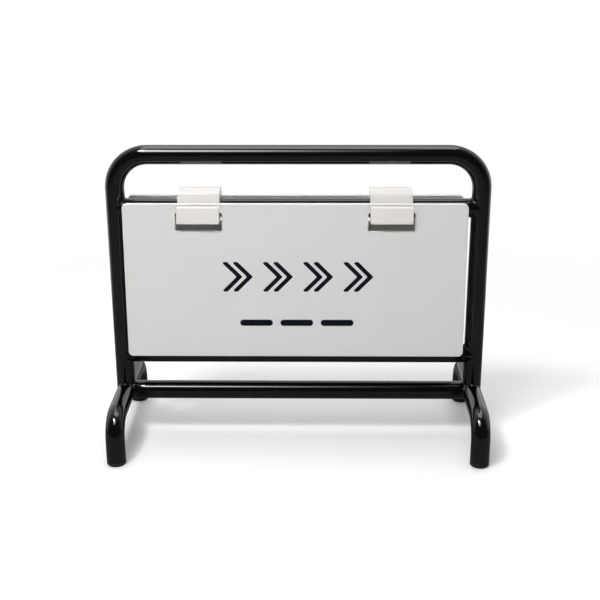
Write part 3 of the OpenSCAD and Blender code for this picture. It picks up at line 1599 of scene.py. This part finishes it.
@dataclass
class Studio:
    """White floor, soft key light at the front, soft box overhead and the camera."""

    camera_place_mm: Place = (9.28, -559.75, 274.58)
    pitch: float = 0.340045
    yaw: float = -0.0149175
    roll: float = 0.0030172
    lens: float = 66.497
    sensor: float = 36.0
    clip_range: Band = (0.01, 20.0)
    aim: Place = (0.0, 0.0, 0.08)
    key_place: Place = (-0.060, -0.420, 0.727)
    key_size: float = 0.38
    key_hot_x: float = 0.165
    key_spread: Point = (0.130, 0.085)
    key_falloff: float = 0.6065
    key_level: float = 17.0
    key_tint: Colour = (1.0, 0.992, 0.982)
    core_place: Place = (-0.260, -0.300, 0.727)
    core_size: Point = (0.10, 0.10)
    core_level: float = 70.0
    box_place: Place = (0.03, 0.15, 0.98)
    box_size: Point = (0.70, 0.60)
    box_level: float = 2.8
    box_tint: Colour = (0.975, 0.99, 1.0)
    room_band: Band = (-0.35, 0.75)
    front_level: float = 0.035
    front_fill: float = 0.19
    rear_level: float = 0.72
    rear_fill: float = 0.80
    rear_seen: float = 0.8
    floor_size: float = 8.0
    floor_sunk_mm: float = 0.02
    floor_albedo: float = 0.94
    floor_bounce: float = 0.85
    floor_gloss: float = 0.16
    floor_grain: Grain = Grain(900.0)
    floor_uneven: float = 0.01
    lift_band: Band = (0.17, 0.42)
    behind_band: Band = (-0.05, 0.25)

    def build(self) -> None:
        """Builds the floor, the lights, the world and the camera."""
        self._floor()
        self._key()
        self._lamp("key_core", self.core_place, self.core_size, self.core_level, self.key_tint)
        self._lamp("overhead_box", self.box_place, self.box_size, self.box_level, self.box_tint)
        self._world()
        self._camera()
        bpy.context.scene.view_settings.view_transform = "Standard"
        LOG.info("studio: floor, key, core, overhead box, world and camera")

    def _camera(self) -> None:
        """Sets the camera where the photographer's camera stood."""
        data = bpy.data.cameras.new("camera")
        data.lens, data.sensor_width, data.sensor_fit = self.lens, self.sensor, "HORIZONTAL"
        data.clip_start, data.clip_end = self.clip_range
        camera = bpy.data.objects.new("camera", data)
        bpy.context.scene.collection.objects.link(camera)
        camera.matrix_world = (
            offset(*self.camera_place_mm)
            @ Matrix.Rotation(-self.yaw, 4, "Z")
            @ Matrix.Rotation(math.pi / 2 - self.pitch, 4, "X")
            @ Matrix.Rotation(-self.roll, 4, "Z")
        )
        bpy.context.scene.camera = camera

    def _floor(self) -> None:
        """Lays the white floor, which fades into the background away from the sign."""
        floor = add_piece(
            "floor", bpy.ops.mesh.primitive_plane_add, size=self.floor_size,
            location=(0, 0, -self.floor_sunk_mm * MM),
        )
        graph = self._bare(floor, "white_floor")
        place = graph.place()
        away = graph.add("ShaderNodeVectorMath", {"operation": "LENGTH"}, {0: place}, "Value")
        behind = graph.step(graph.axis(place, "Y"), *self.behind_band)
        level = self.floor_bounce + (
            (self.floor_albedo - self.floor_bounce) * graph.ray("Is Camera Ray")
            + (self.floor_gloss - self.floor_bounce) * graph.ray("Is Glossy Ray")
            + self.floor_uneven * (graph.noise(self.floor_grain) - 0.5)
        )
        grey = graph.add("ShaderNodeCombineColor", values={0: level, 1: level, 2: level})
        shade = graph.add("ShaderNodeBsdfDiffuse", values={"Color": grey})
        glow = graph.add("ShaderNodeEmission", values={"Strength": 1.0})
        seen = graph.step(away, *self.lift_band) * self._seen(graph, behind)
        mixed = graph.add("ShaderNodeMixShader", values={0: seen, 1: shade, 2: glow})
        graph.add("ShaderNodeOutputMaterial", values={"Surface": mixed})

    @staticmethod
    def _bare(piece: bpy.types.Object, name: str) -> Graph:
        """Gives a piece of the studio a new material.

        Args:
            piece: The piece.
            name: Name of the material.

        Returns:
            The material's graph, empty.
        """
        material = bpy.data.materials.new(name)
        material.use_nodes = True
        piece.data.materials.append(material)
        return Graph(material.node_tree)

    @staticmethod
    def _seen(graph: Graph, behind: Socket) -> Socket:
        """Share of the white background that a ray shows.

        Args:
            graph: The graph of the floor or of the world.
            behind: 1 behind the sign, where reflections show the background too, else 0.

        Returns:
            1 where the camera, a reflection or clear material shows it, else 0.
        """
        mirrored = graph.ray("Is Glossy Ray") + graph.ray("Is Transmission Ray")
        total = graph.ray("Is Camera Ray") + mirrored * behind
        return graph.add("ShaderNodeMath", {"operation": "MINIMUM"}, {0: total, 1: 1.0})

    def _aimed(self, place: Place, face: str) -> Matrix:
        """Place and turn of a light, with one of its sides turned to the sign.

        Args:
            place: Its middle.
            face: Axis of the side that shines, such as -Z.

        Returns:
            The matrix.
        """
        towards = Vector(self.aim) - Vector(place)
        return Matrix.Translation(place) @ towards.to_track_quat(face, "Y").to_matrix().to_4x4()

    def _key(self) -> None:
        """Hangs the key light, a panel with a soft bright spot, aimed at the sign."""
        key = add_piece("key_panel", bpy.ops.mesh.primitive_plane_add, size=self.key_size)
        key.matrix_world = self._aimed(self.key_place, "Z")
        graph = self._bare(key, "key_glow")
        place = graph.place()
        across = (graph.axis(place, "X") - self.key_hot_x) / self.key_spread[0]
        up = graph.axis(place, "Y") / self.key_spread[1]
        level = self.key_level * self.key_falloff ** (across * across + up * up)
        facing = 1.0 - graph.add("ShaderNodeNewGeometry", output="Backfacing")
        tint = (*self.key_tint, 1.0)
        glow = graph.add(
            "ShaderNodeEmission", values={"Color": tint, "Strength": level * facing}
        )
        graph.add("ShaderNodeOutputMaterial", values={"Surface": glow})
        key.visible_camera = False
        key.visible_shadow = False

    def _lamp(self, name: str, place: Place, size: Point, level: float, tint: Colour) -> None:
        """Hangs a flat lamp that is aimed at the sign.

        Args:
            name: Name of the lamp.
            place: Its middle.
            size: Its width and depth.
            level: Its brightness, at which a strength of 1 is white.
            tint: Its colour.
        """
        data = bpy.data.lights.new(name, "AREA")
        data.shape = "RECTANGLE"
        data.size, data.size_y = size
        data.energy = level * math.pi * size[0] * size[1]
        data.color = tint
        lamp = bpy.data.objects.new(name, data)
        lamp.matrix_world = self._aimed(place, "-Z")
        bpy.context.scene.collection.objects.link(lamp)

    def _world(self) -> None:
        """Surrounds the set: white where it is seen, and a dim room in front."""
        world = bpy.data.worlds.new("studio_room")
        bpy.context.scene.world = world
        world.use_nodes = True
        graph = Graph(world.node_tree)
        direction = graph.add("ShaderNodeTexCoord", output="Generated")
        rearwards = graph.step(graph.axis(direction, "Y"), *self.room_band)
        soft_ray = graph.ray("Is Diffuse Ray")
        front = self.front_level + (self.front_fill - self.front_level) * soft_ray
        rear = self.rear_level + (self.rear_fill - self.rear_level) * soft_ray
        room = front + (rear - front) * rearwards
        level = room + (1.0 - room) * self._seen(graph, self.rear_seen * rearwards)
        sky = graph.add(
            "ShaderNodeBackground", values={"Color": (1.0, 1.0, 1.0, 1.0), "Strength": level}
        )
        graph.add("ShaderNodeOutputWorld", values={"Surface": sky})


def main() -> None:
    """Builds the sign piece by piece, then its studio."""
    logging.basicConfig(level=logging.INFO, format="%(name)s: %(message)s")
    tubes = TubeFrame()
    boards = HangingBoards()
    for assembly in (
        tubes, WeldSeams(tubes), FootPlugs(tubes), HangerClips(), boards, PrintedMarks(boards)
    ):
        assembly.build()
        assembly.dress()
        LOG.info("%s done", type(assembly).__name__)
    Studio().build()


if __name__ == "__main__":
    main()
